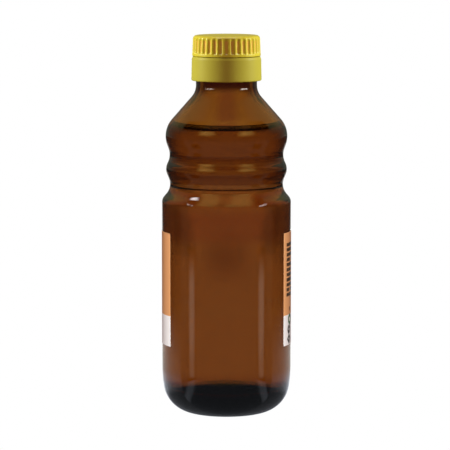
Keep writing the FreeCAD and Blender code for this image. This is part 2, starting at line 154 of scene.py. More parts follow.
def inside_points(grow=0.0):
    """Outline of the space inside the glass, from the middle of its floor up to the mouth.
    grow moves it into the glass."""
    inset, neck_inset = WALL - grow, NECK_WALL - grow
    dome_arc = FLOOR_DOME_ARC - grow
    dome_centre = FLOOR_HEIGHT - FLOOR_DOME_ARC
    floor_arc, draw_arc, draw_centre = FLOOR_ARC + grow, DRAW_ARC - inset, BODY_RADIUS - DRAW_ARC
    to_dome, to_draw = dome_arc + floor_arc, draw_arc - floor_arc
    span = math.hypot(draw_centre, HEEL_RISE - dome_centre)
    along = (to_dome ** 2 - to_draw ** 2 + span ** 2) / (2 * span)
    beside = math.sqrt(to_dome ** 2 - along ** 2)
    toward = (draw_centre / span, (HEEL_RISE - dome_centre) / span)
    heel = (toward[0] * along + toward[1] * beside, dome_centre + toward[1] * along - toward[0] * beside)
    dome_turn = math.atan2(heel[1] - dome_centre, heel[0])
    draw_turn = math.asin((HEEL_RISE - heel[1]) / to_draw)
    points = arc_points((0, dome_centre), dome_arc, math.pi / 2, dome_turn, 20)
    points += arc_points(heel, floor_arc, dome_turn - math.pi, -draw_turn, 30)[1:]
    points += arc_points((draw_centre, HEEL_RISE), draw_arc, -draw_turn, 0, 12)[1:]
    points += line_points(points[-1], (BODY_RADIUS - inset, WAIST[0][1]), 24)
    points += waist_points(inset, WAIST_WALL - grow, neck_inset)
    points.append((WAIST[-1][0] - neck_inset, MOUTH_HEIGHT))
    return points


# ---------------------------------------------------------------- meshes

def new_piece(name, vertices, faces, material, slot, *nodes):
    """A smooth-shaded mesh piece that rides on the part's only body and stands for the named CAD nodes."""
    mesh = bpy.data.meshes.new(name)
    mesh.from_pydata(vertices, [], faces)
    mesh.validate()
    mesh.shade_smooth()
    mesh.materials.append(material)
    piece = bpy.data.objects.new(name, mesh)
    bpy.context.scene.collection.objects.link(piece)
    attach(piece, "root")
    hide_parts(*nodes)
    return piece


def spin(outline, segments):
    """Vertices and faces of a closed form turned round Z. The outline runs counter-clockwise seen with
    the radius to the right, and a point on the axis becomes one vertex."""
    vertices, rings = [], []
    for radius, height in outline:
        if radius < 1e-7:
            rings.append([len(vertices)])
            vertices.append((0.0, 0.0, height))
            continue
        rings.append(range(len(vertices), len(vertices) + segments))
        vertices += [(radius * math.sin(TURN * i / segments), -radius * math.cos(TURN * i / segments), height)
                     for i in range(segments)]
    faces = []
    closed = len(rings[0]) > 1 and len(rings[-1]) > 1
    pairs = list(zip(rings, rings[1:])) + ([(rings[-1], rings[0])] if closed else [])
    for low, high in pairs:
        for i in range(segments):
            j = (i + 1) % segments
            if len(low) == 1:
                faces.append((low[0], high[j], high[i]))
            elif len(high) == 1:
                faces.append((low[i], low[j], high[0]))
            else:
                faces.append((low[i], low[j], high[j], high[i]))
    return vertices, faces


# ---------------------------------------------------------------- materials

def new_material(name):
    """A node material with a Principled shader. Returns the material, its node tree and the shader."""
    material = bpy.data.materials.new(name)
    material.use_nodes = True
    tree = material.node_tree
    return material, tree, tree.nodes["Principled BSDF"]


def node(tree, kind, inputs=None, **settings):
    """A node with its settings and its inputs. A socket is linked; a number, or the red, green and blue of
    a colour, is set."""
    made = tree.nodes.new(kind)
    for name, value in settings.items():
        setattr(made, name, value)
    for name, value in (inputs or {}).items():
        socket = made.inputs[name]
        if isinstance(value, bpy.types.NodeSocket):
            tree.links.new(value, socket)
        else:
            socket.default_value = (*value, 1) if socket.type == "RGBA" else value
    return made


def maths(tree, operation, first, second=0.0):
    """One sum, comparison or function of one or two numbers."""
    return node(tree, "ShaderNodeMath", {0: first, 1: second}, operation=operation).outputs[0]


def product(tree, first, *others):
    """All its numbers multiplied."""
    for other in others:
        first = maths(tree, "MULTIPLY", first, other)
    return first


def gap(tree, value, middle):
    """How far a value lies from a middle, to either side."""
    return maths(tree, "ABSOLUTE", maths(tree, "SUBTRACT", value, middle))


def colour_mix(tree, share, first, second):
    """The first colour where the share is 0, the second where it is 1."""
    return node(tree, "ShaderNodeMix", {0: share, 6: first, 7: second}, data_type="RGBA").outputs[2]


def between(tree, share, first, second):
    """The first number where the share is 0, the second where it is 1."""
    rest = maths(tree, "SUBTRACT", 1.0, share)
    return maths(tree, "ADD", product(tree, second, share), product(tree, first, rest))


def ramp(tree, value, low, high, at_low=0.0, at_high=1.0):
    """A smooth climb from one value to another."""
    ends = {"Value": value, "From Min": low, "From Max": high, "To Min": at_low, "To Max": at_high}
    return node(tree, "ShaderNodeMapRange", ends, interpolation_type="SMOOTHSTEP").outputs[0]


def place_of(tree, kind="Object"):
    """X, Y and Z of the spot: in the part's frame, as shares along a sheet for UV, or as a direction for
    Generated in the world."""
    spot = node(tree, "ShaderNodeTexCoord").outputs[kind]
    return node(tree, "ShaderNodeSeparateXYZ", {0: spot}).outputs


def distance(tree, first, second):
    """Straight distance over two legs at a right angle."""
    squares = [maths(tree, "POWER", leg, 2.0) for leg in (first, second)]
    return maths(tree, "SQRT", maths(tree, "ADD", *squares))


def place_noise(tree, scale, detail, stretch=(1.0, 1.0, 1.0)):
    """Smooth noise fixed to the object."""
    spot = node(tree, "ShaderNodeTexCoord").outputs["Object"]
    spot = node(tree, "ShaderNodeMapping", {"Vector": spot, "Scale": stretch}).outputs[0]
    return node(tree, "ShaderNodeTexNoise", {"Vector": spot, "Scale": scale, "Detail": detail}).outputs["Fac"]


def bump(tree, height, depth, strength):
    """A normal that leans as if the surface rose and fell by a depth."""
    made = node(tree, "ShaderNodeBump", {"Height": height, "Distance": depth, "Strength": strength})
    return made.outputs[0]


def clear_material(name, ior, absorbed, ripple, gloss=None):
    """A clear body that absorbs light along its depth. absorbed is per metre, for red, green and blue.
    ripple is how far its surface rises and falls. gloss names a vertex colour that says where it mirrors."""
    material, tree, shader = new_material(name)
    shader.inputs["Base Color"].default_value = (*WHITE, 1)
    shader.inputs["Transmission Weight"].default_value = 1.0
    shader.inputs["Roughness"].default_value = 0.0
    shader.inputs["IOR"].default_value = ior
    if gloss:
        mirror = node(tree, "ShaderNodeVertexColor", layer_name=gloss)
        tree.links.new(mirror.outputs["Color"], shader.inputs["Specular Tint"])
    waves = place_noise(tree, 55.0, 1.0, (1.0, 1.0, 0.6))
    tree.links.new(bump(tree, waves, ripple, 1.0), shader.inputs["Normal"])
    density = max(absorbed)
    kept = [1 - lost / density for lost in absorbed]
    volume = node(tree, "ShaderNodeVolumeAbsorption", {"Color": kept, "Density": density})
    tree.links.new(volume.outputs[0], tree.nodes["Material Output"].inputs["Volume"])
    return material


def plastic_material(name, colour, shade, roughness, specular, flutes=None):
    """Moulded plastic: a slightly uneven colour, fine flow marks and a soft gloss. flutes is a painted shade
    for the grooves, a colour in place of light bounced from plastic to plastic, then the radii from their
    edges to their bottoms and the heights between which they begin."""
    material, tree, shader = new_material(name)
    colour = colour_mix(tree, place_noise(tree, 180.0, 3.0), colour, shade)
    if flutes:
        painted_flute_colour, radii, heights = flutes
        place = place_of(tree)
        radius = distance(tree, place["X"], place["Y"])
        inside = product(tree, ramp(tree, radius, *radii), ramp(tree, place["Z"], *heights))
        # painted shade: the bottoms of the flutes take a redder colour in place of light bounced between the
        # ridges
        colour = colour_mix(tree, inside, colour, painted_flute_colour)
    tree.links.new(colour, shader.inputs["Base Color"])
    shader.inputs["Roughness"].default_value = roughness
    shader.inputs["IOR"].default_value = PLASTIC_IOR
    shader.inputs["Specular IOR Level"].default_value = specular
    grain = place_noise(tree, 1400.0, 2.0, (1.0, 1.0, 0.3))
    tree.links.new(bump(tree, grain, GRAIN_DEPTH, 0.5), shader.inputs["Normal"])
    return material


def label_material(name, printed):
    """Printed paper: a salmon field over a white foot band, both a little uneven. The printed one has rows
    of short dark dashes and, below them, a brown spot, a green ring, a dark ring and a dark diamond."""
    material, tree, shader = new_material(name)
    place = place_of(tree)
    mottle = place_noise(tree, 500.0, 3.0)
    salmon = colour_mix(tree, mottle, (0.69, 0.34, 0.14), (0.66, 0.325, 0.13))
    white = colour_mix(tree, mottle, (0.85, 0.86, 0.83), (0.82, 0.83, 0.80))
    colour = colour_mix(tree, maths(tree, "LESS_THAN", place["Z"], WHITE_BAND_HEAD), salmon, white)
    if printed:
        azimuth = maths(tree, "ARCTAN2", place["X"], maths(tree, "MULTIPLY", place["Y"], -1.0))
        across = maths(tree, "MULTIPLY", maths(tree, "SUBTRACT", azimuth, PRINT_START), BODY_RADIUS)
        black, brown, green = (0.012, 0.01, 0.008), (0.12, 0.06, 0.03), (0.02, 0.11, 0.02)
        grey = (0.02, 0.018, 0.015)
        colour = colour_mix(tree, dashes(tree, across, place["Z"]), colour, black)
        # millimetres from the print's edge and from the table, and the sizes outside and inside
        for form, ink, aside, level, outer, inner in (
                ("ROUND", brown, 4.6, 47.0, 1.0, 0.0), ("ROUND", green, 4.6, 42.3, 2.5, 1.0),
                ("ROUND", grey, 3.6, 37.9, 2.1, 0.6), ("DIAMOND", grey, 3.6, 33.7, 2.7, 0.7)):
            offsets = gap(tree, across, aside * MM), gap(tree, place["Z"], level * MM)
            colour = colour_mix(tree, mark(tree, form, offsets, outer * MM, inner * MM), colour, ink)
    tree.links.new(colour, shader.inputs["Base Color"])
    shader.inputs["Roughness"].default_value = 0.45
    shader.inputs["Specular IOR Level"].default_value = 0.08
    fibres = place_noise(tree, 2600.0, 3.0)
    tree.links.new(bump(tree, fibres, GRAIN_DEPTH, 0.4), shader.inputs["Normal"])
    return material


def dashes(tree, across, height):
    """Rows of short dashes in groups, each row of its own length: 1 on a dash, 0 between."""
    rows, row_pitch, foot = 11, 2.22 * MM, 52.4 * MM
    # the first cells of a row are always inked, and of the others a share is skipped
    cell_pitch, always, skipped = 1.0 * MM, 3, 0.12
    half_height, half_width = 0.35, 0.46
    # a row's length in cells, and the draw it comes from
    shortest, spread, length_draw = 16.0, 12.0, 99.0
    row = maths(tree, "DIVIDE", maths(tree, "SUBTRACT", height, foot), row_pitch)
    cell = maths(tree, "DIVIDE", across, cell_pitch)
    row_number, cell_number = maths(tree, "FLOOR", row), maths(tree, "FLOOR", cell)

    def draw(number):
        drawn = node(tree, "ShaderNodeCombineXYZ", {0: row_number, 1: number}).outputs[0]
        return node(tree, "ShaderNodeTexWhiteNoise", {"Vector": drawn}).outputs["Value"]

    length = maths(tree, "ADD", maths(tree, "MULTIPLY", draw(length_draw), spread), shortest)
    off_row = gap(tree, maths(tree, "SUBTRACT", row, row_number), 0.5)
    off_cell = gap(tree, maths(tree, "SUBTRACT", cell, cell_number), 0.5)
    ink = maths(tree, "MAXIMUM", maths(tree, "GREATER_THAN", draw(cell_number), skipped),
                maths(tree, "LESS_THAN", cell, always))
    return product(tree, ink, maths(tree, "LESS_THAN", off_row, half_height),
                   maths(tree, "LESS_THAN", off_cell, half_width),
                   maths(tree, "GREATER_THAN", row, 0.0), maths(tree, "LESS_THAN", row, rows),
                   maths(tree, "GREATER_THAN", cell, 0.0), maths(tree, "LESS_THAN", cell, length))


def mark(tree, form, offsets, outer, inner):
    """A round or diamond-shaped mark with a bare middle: 1 on it, 0 elsewhere."""
    out = distance(tree, *offsets) if form == "ROUND" else maths(tree, "ADD", *offsets)
    return product(tree, maths(tree, "LESS_THAN", out, outer), maths(tree, "GREATER_THAN", out, inner))


# ---------------------------------------------------------------- pieces

def make_bottle():
    """The glass, turned from one closed outline. Its inner wall doesn't mirror where the oil wets it."""
    vertices, faces = spin(outside_points() + inside_points()[::-1], GLASS_SEGMENTS)
    glass = clear_material("amber_glass", GLASS_IOR, GLASS_ABSORBS, GLASS_RIPPLE, "dry")
    piece = new_piece("bottle_glass", vertices, faces, glass, "amber_glass", "glass_bottle")

    def micrometres(radius, height):
        return round(radius * 1e6), round(height * 1e6)

    wetted = {micrometres(*point) for point in inside_points() if point[1] < OIL_LEVEL}
    dry = piece.data.color_attributes.new("dry", "FLOAT_COLOR", "POINT")
    for vertex, shade in zip(piece.data.vertices, dry.data):
        x, y, z = vertex.co
        shade.color = (*(BLACK if micrometres(math.hypot(x, y), z) in wetted else WHITE), 1)
    piece.data.set_sharp_from_angle(angle=SHARP_EDGE)


def make_oil():
    """The oil reaches just into the glass. Its surface climbs the wall in a round fillet on the side of -Y
    and runs level to the wall at the back."""
    wall = inside_points(OIL_REACH)
    lowest, highest, run_out = OIL_LEVEL - 4 * MM, OIL_LEVEL + 8 * MM, 0.4
    beside = [point for point in wall if lowest < point[1] < highest]
    centre_height = OIL_LEVEL + OIL_FILLET

    def to_wall(centre):
        return min(math.hypot(x - centre, z - centre_height) for x, z in beside)

    # halve the range until the fillet's centre stands one radius off the leaning wall
    free, blocked = 10 * MM, 24 * MM
    for _ in range(40):
        middle = (free + blocked) / 2
        free, blocked = (middle, blocked) if to_wall(middle) > OIL_FILLET else (free, middle)
    contact = min(beside, key=lambda point: math.hypot(point[0] - free, point[1] - centre_height))
    lean = math.atan2(contact[1] - centre_height, contact[0] - free)
    wetted = [point for point in wall if point[1] < contact[1]]
    climbing = wetted + arc_points((free, centre_height), OIL_FILLET, lean, -math.pi / 2, 24)
    climbing.append((0, OIL_LEVEL))

    # the same number of points with a level surface, for the back
    level = [point for point in wetted if point[1] < OIL_LEVEL]
    brim = min(beside, key=lambda point: abs(point[1] - OIL_LEVEL))[0]
    steps = len(climbing) - len(level) - 1
    level += [(brim * (1 - step / steps), OIL_LEVEL) for step in range(steps + 1)]

    front, faces = spin(climbing, GLASS_SEGMENTS)
    back, _ = spin(level, GLASS_SEGMENTS)
    vertices = []
    for raised, flat in zip(front, back):
        ahead = -raised[1] / max(math.hypot(raised[0], raised[1]), 1e-6)
        share = min(1.0, max(0.0, 0.5 + ahead / run_out))
        vertices.append(tuple(b + (a - b) * share for a, b in zip(raised, flat)))
    liquid = clear_material("seed_oil", OIL_IOR, OIL_ABSORBS, OIL_RIPPLE)
    new_piece("oil_fill", vertices, faces, liquid, "oil", "seed_oil")


def make_collar():
    """A smooth band with a bevelled head, seated on the ledge of the neck."""
    foot, shoulder, head = 15.45 * MM, 15.25 * MM, 14.9 * MM
    bore, upper_bore = 13.7 * MM, 13.0 * MM
    foot_edge, bend, head_edge = 0.5 * MM, 0.4 * MM, 0.2 * MM
    bevel_foot, lean = COLLAR_HEAD - 1.15 * MM, math.radians(18)
    outline = [(bore, COLLAR_FOOT)]
    outline += arc_points((foot - foot_edge, COLLAR_FOOT + foot_edge), foot_edge, -math.pi / 2, 0, 10)
    outline += line_points(outline[-1], (shoulder, bevel_foot), 10)
    outline += arc_points((shoulder - bend, bevel_foot), bend, 0, lean, 4)
    outline += arc_points((head - head_edge, COLLAR_HEAD - head_edge), head_edge, lean, math.pi / 2, 6)
    outline += [(upper_bore, COLLAR_HEAD), (upper_bore, LEDGE_HEIGHT), (bore, LEDGE_HEIGHT)]
    vertices, faces = spin(outline, COLLAR_SEGMENTS)
    plastic = plastic_material("collar_plastic", (0.585, 0.525, 0.06), (0.56, 0.50, 0.057), 0.4, 0.1)
    piece = new_piece("neck_collar", vertices, faces, plastic, "collar_plastic", "collar")
    piece.data.set_sharp_from_angle(angle=SHARP_EDGE)
    return piece


def make_cap():
    """The fluted cap: its skirt is a ring of rounded ridges between flutes that run out above and below."""
    flutes, steps_per_flute = 36, 12
    skirt, crown, bore, skin = 15.1 * MM, 14.8 * MM, 13.0 * MM, 14.0 * MM
    crown_edge, foot_edge, foot_inset = 1.65 * MM, 0.25 * MM, 0.15 * MM
    # half_width is a share of the flutes' pitch, and hollow rounds their bottoms
    flute_depth, half_width, hollow = 0.57 * MM, 0.37, 0.8
    flute_foot, flute_head = SKIRT_FOOT + 1.15 * MM, CAP_HEIGHT - 1.0 * MM
    foot_fade, head_fade = 0.9 * MM, 2.2 * MM
    side_top = CAP_HEIGHT - crown_edge

    def fade(height):
        """How much of a flute's depth is left at a height."""
        share = max(0.0, min(1.0, (height - flute_foot) / foot_fade, (flute_head - height) / head_fade))
        return math.sqrt(1 - (1 - share) ** 2)

    def fluted(vertex):
        x, y, z = vertex
        radius = math.hypot(x, y)
        if radius < skin or not flute_foot < z < flute_head:
            return vertex
        phase = (math.atan2(x, -y) * flutes / TURN + 0.5) % 1 - 0.5
        across = min(1.0, abs(phase) / half_width)
        depth = flute_depth * fade(z) * math.cos(across * math.pi / 2) ** hollow
        shrink = (radius - depth) / radius
        return (x * shrink, y * shrink, z)

    outline = [(0, MOUTH_HEIGHT), (bore, MOUTH_HEIGHT), (bore, SKIRT_FOOT), (skirt - foot_inset, SKIRT_FOOT)]
    outline += arc_points((skirt - foot_edge, SKIRT_FOOT + foot_edge), foot_edge, -math.pi / 3, 0, 4)
    outline += line_points((skirt, SKIRT_FOOT + foot_edge), (crown, side_top), 44)
    outline += arc_points((crown - crown_edge, side_top), crown_edge, 0, math.pi / 2, 14)
    outline += line_points(outline[-1], (0, CAP_HEIGHT), 6)
    outline.append((0, CAP_HEIGHT))
    vertices, faces = spin(outline, flutes * steps_per_flute)
    # painted shade for the flutes: a redder colour, then the radii and heights between which it takes over
    painted_flute_shade = (0.95, 0.60, 0.075), (14.75 * MM, 14.35 * MM), (CAP_HEIGHT - 1.6 * MM, CAP_HEIGHT - 2.4 * MM)
    plastic = plastic_material("cap_plastic", (0.82, 0.70, 0.042), (0.79, 0.67, 0.04), 0.3, 0.3, painted_flute_shade)
    piece = new_piece("fluted_cap", [fluted(v) for v in vertices], faces, plastic, "cap_plastic", "screw_cap")
    piece.data.set_sharp_from_angle(angle=SHARP_FLUTE)
    return piece


def make_label(side, span):
    """A paper label, a curved sheet with its own thickness."""
    steps_round, steps_up = 80, 8
    vertices = []
    for radius in (BODY_RADIUS, BODY_RADIUS + LABEL_THICKNESS):
        for i in range(steps_round + 1):
            azimuth = math.radians(span[0] + (span[1] - span[0]) * i / steps_round)
            for k in range(steps_up + 1):
                height = LABEL_FOOT + (LABEL_HEAD - LABEL_FOOT) * k / steps_up
                vertices.append((radius * math.sin(azimuth), -radius * math.cos(azimuth), height))
    column, sheet = steps_up + 1, (steps_round + 1) * (steps_up + 1)
    faces = []
    for i in range(steps_round):
        for k in range(steps_up):
            a = i * column + k
            faces.append((a, a + 1, a + column + 1, a + column))
            faces.append((sheet + a, sheet + a + column, sheet + a + column + 1, sheet + a + 1))
    for i in range(steps_round):
        foot, head = i * column, i * column + steps_up
        faces.append((foot, foot + column, sheet + foot + column, sheet + foot))
        faces.append((head, sheet + head, sheet + head + column, head + column))
    for k in range(steps_up):
        first, last = k, steps_round * column + k
        faces.append((first, sheet + first, sheet + first + 1, first + 1))
        faces.append((last, last + 1, sheet + last + 1, sheet + last))
    paper = label_material("label_paper_" + side, side == "right")
    piece = new_piece("paper_label_" + side, vertices, faces, paper, "label_paper", side + "_label")
    piece.data.set_sharp_from_angle(angle=SHARP_EDGE)
    return piece


# ---------------------------------------------------------------- world

def ray_is(tree, kind):
    """1 for the given kind of ray, 0 for the others."""
    return node(tree, "ShaderNodeLightPath").outputs[kind]


def make_world():
    """White to the eye. Through the glass it is bright behind the bottle and dim at the sides. Gloss sees
    a dark, slightly green room that is warm high up at the back, and the rest is a weak warm fill."""
    world = bpy.data.worlds.new("studio")
    bpy.context.scene.world = world
    world.use_nodes = True
    tree = world.node_tree
    tree.nodes.clear()
    place = place_of(tree, "Generated")
    up, level = place["Z"], distance(tree, place["X"], place["Y"])
    # 1 straight behind the bottle, 0 at its sides, -1 on the camera's side
    facing = maths(tree, "DIVIDE", place["Y"], maths(tree, "MAXIMUM", level, 0.001))

    wide, narrow = ramp(tree, facing, 0.6, 0.85, 0.45, 1.0), ramp(tree, facing, 0.75, 0.97, 0.5, 1.0)
    wall = between(tree, ramp(tree, up, -0.02, 0.02), narrow, wide)
    wall = product(tree, ramp(tree, up, 0.75, 0.5), ramp(tree, up, -0.75, -0.5), wall)

    dim = maths(tree, "ADD", ramp(tree, up, 0.0, -0.25, 0.05, 0.15), ramp(tree, facing, 0.2, 0.8, 0.0, 0.1))
    high = product(tree, ramp(tree, up, 0.1, 0.5), ramp(tree, facing, -0.2, 0.5))
    room = maths(tree, "ADD", dim, product(tree, high, 0.3))
    room_tint = colour_mix(tree, high, (0.95, 1.0, 0.8), (1.0, 0.9, 0.4))

    shown = node(tree, "ShaderNodeBackground", {"Color": (0.54, 0.33, 0.33), "Strength": 0.5}).outputs[0]
    for kind, colour, strength in (("Is Glossy Ray", room_tint, room), ("Is Transmission Ray", WHITE, wall),
                                   ("Is Camera Ray", WHITE, 1.0)):
        seen = node(tree, "ShaderNodeBackground", {"Color": colour, "Strength": strength}).outputs[0]
        shown = node(tree, "ShaderNodeMixShader", {0: ray_is(tree, kind), 1: shown, 2: seen}).outputs[0]
    node(tree, "ShaderNodeOutputWorld", {"Surface": shown})


# ---------------------------------------------------------------- how the stage's sheets glow

def slant(tree):
    """How steeply a sheet is seen: 0 level with the table, 1 from straight above or below."""
    upward = node(tree, "ShaderNodeCombineXYZ", {"Z": 1.0}).outputs[0]
    facing = node(tree, "ShaderNodeLayerWeight", {"Blend": 0.5, "Normal": upward}).outputs["Facing"]
    return maths(tree, "SUBTRACT", 1.0, facing)


def off_middle(tree):
    """How far along a sheet a spot is: 0 in the middle, 0.5 at both ends."""
    return gap(tree, place_of(tree, "UV")["X"], 0.5)


def table_glow(tree):
    """The table mirrors the bright wall behind it where it is seen at a slant, and is dim seen from above.
    Through the glass it is bright and fades sideways."""
    place, steep = place_of(tree), slant(tree)
    aside, beyond = maths(tree, "ABSOLUTE", place["X"]), distance(tree, place["X"], place["Y"])
    close = product(tree, ramp(tree, steep, 0.2, 0.4, 1.0, 0.0), ramp(tree, beyond, 0.2, 0.1))
    remote = product(tree, ramp(tree, steep, 0.17, 0.24, 1.0, 0.0), ramp(tree, beyond, 0.1, 0.2))
    mirrored = product(tree, ramp(tree, aside, 0.10, 0.36, 0.8, 0.0), ramp(tree, place["Y"], -0.15, 0.15),
                       maths(tree, "ADD", close, remote))
    mirrored = maths(tree, "ADD", mirrored, ramp(tree, beyond, 0.06, 0.12, 0.17, 0.04))
    through = ramp(tree, aside, 0.24, 0.52, 1.0, 0.5)
    return between(tree, ray_is(tree, "Is Transmission Ray"), mirrored, through)


def table_hue(tree):
    """Cool close to the bottle and warm further off. Through the glass it is nearly white."""
    place = place_of(tree)
    beyond = distance(tree, place["X"], place["Y"])
    mirrored = maths(tree, "SUBTRACT", 1.0, ray_is(tree, "Is Transmission Ray"))
    hue = (1.0, 0.96, 0.93)
    for start, end, tint in ((0.06, 0.15, (0.81, 0.78, 0.72)), (0.15, 0.06, (1.1, 1.16, 1.29))):
        hue = colour_mix(tree, product(tree, ramp(tree, beyond, start, end), mirrored), hue, tint)
    return hue


def apron_glow(tree):
    """The table in front of the foot: dim, with the lower end of each side box's image across it."""
    place = place_of(tree)
    aside, ahead = maths(tree, "ABSOLUTE", place["X"]), maths(tree, "MULTIPLY", place["Y"], -1.0)
    off_image = gap(tree, maths(tree, "ARCTAN2", aside, ahead), math.radians(56))
    return ramp(tree, off_image, math.radians(10), math.radians(3), 0.16, 0.55)


def soft_sides(tree):
    """Full in the middle of a sheet, fading to nothing at its two ends."""
    return ramp(tree, off_middle(tree), 0.5, 0.12)


def image_glow(tree):
    """A box's image in the table: only seen at a slant, and soft at its sides and its head."""
    height = place_of(tree, "UV")["Y"]
    return product(tree, soft_sides(tree), ramp(tree, slant(tree), 0.19, 0.24, 1.0, 0.0),
                   ramp(tree, height, 1.0, 0.76), ramp(tree, height, 0.3, 0.5, 0.6, 1.0))


def low_glow(tree):
    """Lit for glass that looks up to a card at a slant."""
    return ramp(tree, slant(tree), 0.6, 0.7, 1.0, 0.0)


def curtain_glow(tree):
    """Soft all round, for glass that looks up to a card at a slant."""
    steep = slant(tree)
    return product(tree, ramp(tree, off_middle(tree), 0.5, 0.0), ramp(tree, steep, 0.16, 0.4),
                   ramp(tree, steep, 0.5, 0.8, 1.0, 0.0))


def band_glow(tree):
    """Soft at both ends and weaker in the middle."""
    off = off_middle(tree)
    return product(tree, ramp(tree, off, 0.5, 0.3), ramp(tree, off, 0.02, 0.2, 0.45, 1.0),
                   ramp(tree, slant(tree), 0.16, 0.4))


def glint_glow(tree):
    """Soft to the sides, for glass that sees a card nearly edge-on."""
    return product(tree, soft_sides(tree), ramp(tree, slant(tree), 0.24, 0.3, 1.0, 0.0))


# ---------------------------------------------------------------- the stage's sheets

def make_sheet(name, corners):
    """A sheet of the stage, hidden from the camera and from diffuse light, and its empty node tree. The
    corners run along its foot and back along its head. UV counts the shares along and up it."""
    mesh = bpy.data.meshes.new(name)
    mesh.from_pydata(corners, [], [tuple(range(len(corners)))])
    steps = len(corners) // 2 - 1
    shares = [step / steps for step in range(steps + 1)]
    spots = [(share, 0) for share in shares] + [(share, 1) for share in shares[::-1]]
    for loop, spot in zip(mesh.uv_layers.new(name="sheet").data, spots):
        loop.uv = spot
    material = bpy.data.materials.new(name)
    material.use_nodes = True
    material.node_tree.nodes.clear()
    mesh.materials.append(material)
    sheet = bpy.data.objects.new(name, mesh)
    bpy.context.scene.collection.objects.link(sheet)
    sheet.visible_camera = sheet.visible_diffuse = sheet.visible_shadow = False
    return sheet, material.node_tree


def make_panel(name, corners, colour, strength, glow, through=False, one_sided=False):
    """A glowing sheet that is only seen in reflections, and through the glass where that is asked for.
    glow takes the node tree and gives the share of the strength at a spot. colour may be such a function
    too. A one-sided panel glows on the side that sees its corners run counter-clockwise."""
    panel, tree = make_sheet(name, corners)
    panel.visible_transmission = through
    colour = colour(tree) if callable(colour) else colour
    strength = product(tree, glow(tree), strength)
    light = node(tree, "ShaderNodeEmission", {"Color": colour, "Strength": strength}).outputs[0]
    if one_sided:
        back = node(tree, "ShaderNodeNewGeometry").outputs["Backfacing"]
        clear = node(tree, "ShaderNodeBsdfTransparent").outputs[0]
        light = node(tree, "ShaderNodeMixShader", {0: back, 1: light, 2: clear}).outputs[0]
    node(tree, "ShaderNodeOutputMaterial", {"Surface": light})


def make_shade_sheet(name, behind, box, tint, soft):
    """A sheet that paints shade into what is seen through the glass, and is seen nowhere else. It stands
    behind the bottle, and box is its left, right, foot and head, all in millimetres. soft is the share of its
    width and of its height over which it fades in from every edge."""
    left, right, foot, head = box
    corners = (left, foot), (right, foot), (right, head), (left, head)
    sheet, tree = make_sheet(name, [(x * MM, behind * MM, z * MM) for x, z in corners])
    sheet.visible_glossy = False
    place = place_of(tree, "UV")
    share = 1.0
    for axis, fade in zip("XY", soft):
        inward = maths(tree, "SUBTRACT", 0.5, gap(tree, place[axis], 0.5))
        share = product(tree, share, ramp(tree, inward, 0.0, fade))
    # painted shade: the sheet dims and tints what lies behind it by its tint
    clear = node(tree, "ShaderNodeBsdfTransparent", {"Color": colour_mix(tree, share, WHITE, tint)})
    node(tree, "ShaderNodeOutputMaterial", {"Surface": clear.outputs[0]})


def make_table():
    """The bright table behind the bottle, its dim front, and the image of the side boxes in it."""
    for name, half, near, far, hue, glow, through in (
            ("table", 1.2, -0.02, 1.6, table_hue, table_glow, True),
            ("apron", 0.078, -0.078, -0.02, (0.9, 0.97, 1.1), apron_glow, False)):
        corners = [(x, y, TABLE_LEVEL) for x, y in ((-half, near), (half, near), (half, far), (-half, far))]
        make_panel(name, corners, hue, 1.0, glow, through=through)
    azimuth, half_width, away, foot, head = 61.2, 8.5, 0.24, -0.04, 0.05
    for side, sign in (("left", -1), ("right", 1)):
        turns = [math.radians(azimuth + half_width * end) for end in (-1, 1)]
        ends = [(away * sign * math.sin(turn), -away * math.cos(turn)) for turn in turns]
        corners = [(*end, foot) for end in ends] + [(*end, head) for end in ends[::-1]]
        make_panel("side_image_" + side, corners, (1.0, 0.86, 0.68), 1.2, image_glow)


def make_shade_sheets():
    """Sheets behind the glass that paint shade into it: one for each form of neck and waist, the neck's a
    painted shadow under the collar, and three further off that darken the body."""
    for name, behind, box, tint, soft in (
            ("neck", 15.7, (-30, 30, 139.2, 152.2), (0.1, 0.0, 0.0), (0.1, 0.4)),
            ("cone", 30, (-9, 9, 124, 152), (0.8, 0.65, 1.0), (0.45, 0.2)),
            ("waist", 36, (-60, 60, 91, 112), (0.8, 0.78, 0.75), (0.1, 0.3)),
            ("groove", 37, (-60, 60, 106, 118), (0.7, 0.58, 0.42), (0.1, 0.25)),
            ("shoulder", 33, (-60, 60, 70, 92), (0.93, 0.72, 0.75), (0.1, 0.4)),
            ("left", 150, (-110, -30, 44, 77), (0.66, 0.6, 0.45), (0.3, 0.45)),
            ("right", 150, (30, 110, 44, 77), (0.66, 0.6, 0.45), (0.3, 0.45)),
            ("middle", 150, (-38, 38, 34, 70), (0.72, 0.6, 0.52), (0.5, 0.5))):
        make_shade_sheet("painted_shade_" + name, behind, box, tint, soft)


def mirrored_spot(eye, arc, azimuth, lift, level):
    """Where at a level a card has to be for the eye to see it mirrored at one spot on a crest or groove of
    the glass. lift is how far the glass faces upwards there."""
    radius, height, bend, side = arc
    turn, tilt = math.radians(azimuth), math.radians(lift)
    facing = Vector((math.cos(tilt) * math.sin(turn), -math.cos(tilt) * math.cos(turn), math.sin(tilt)))
    reach = radius - side * bend + side * bend * math.cos(tilt)
    spot = Vector((reach * math.sin(turn), -reach * math.cos(turn), height + side * bend * math.sin(tilt)))
    mirrored = (spot - eye).normalized().reflect(facing)
    return spot + mirrored * ((level - spot.z) / mirrored.z)


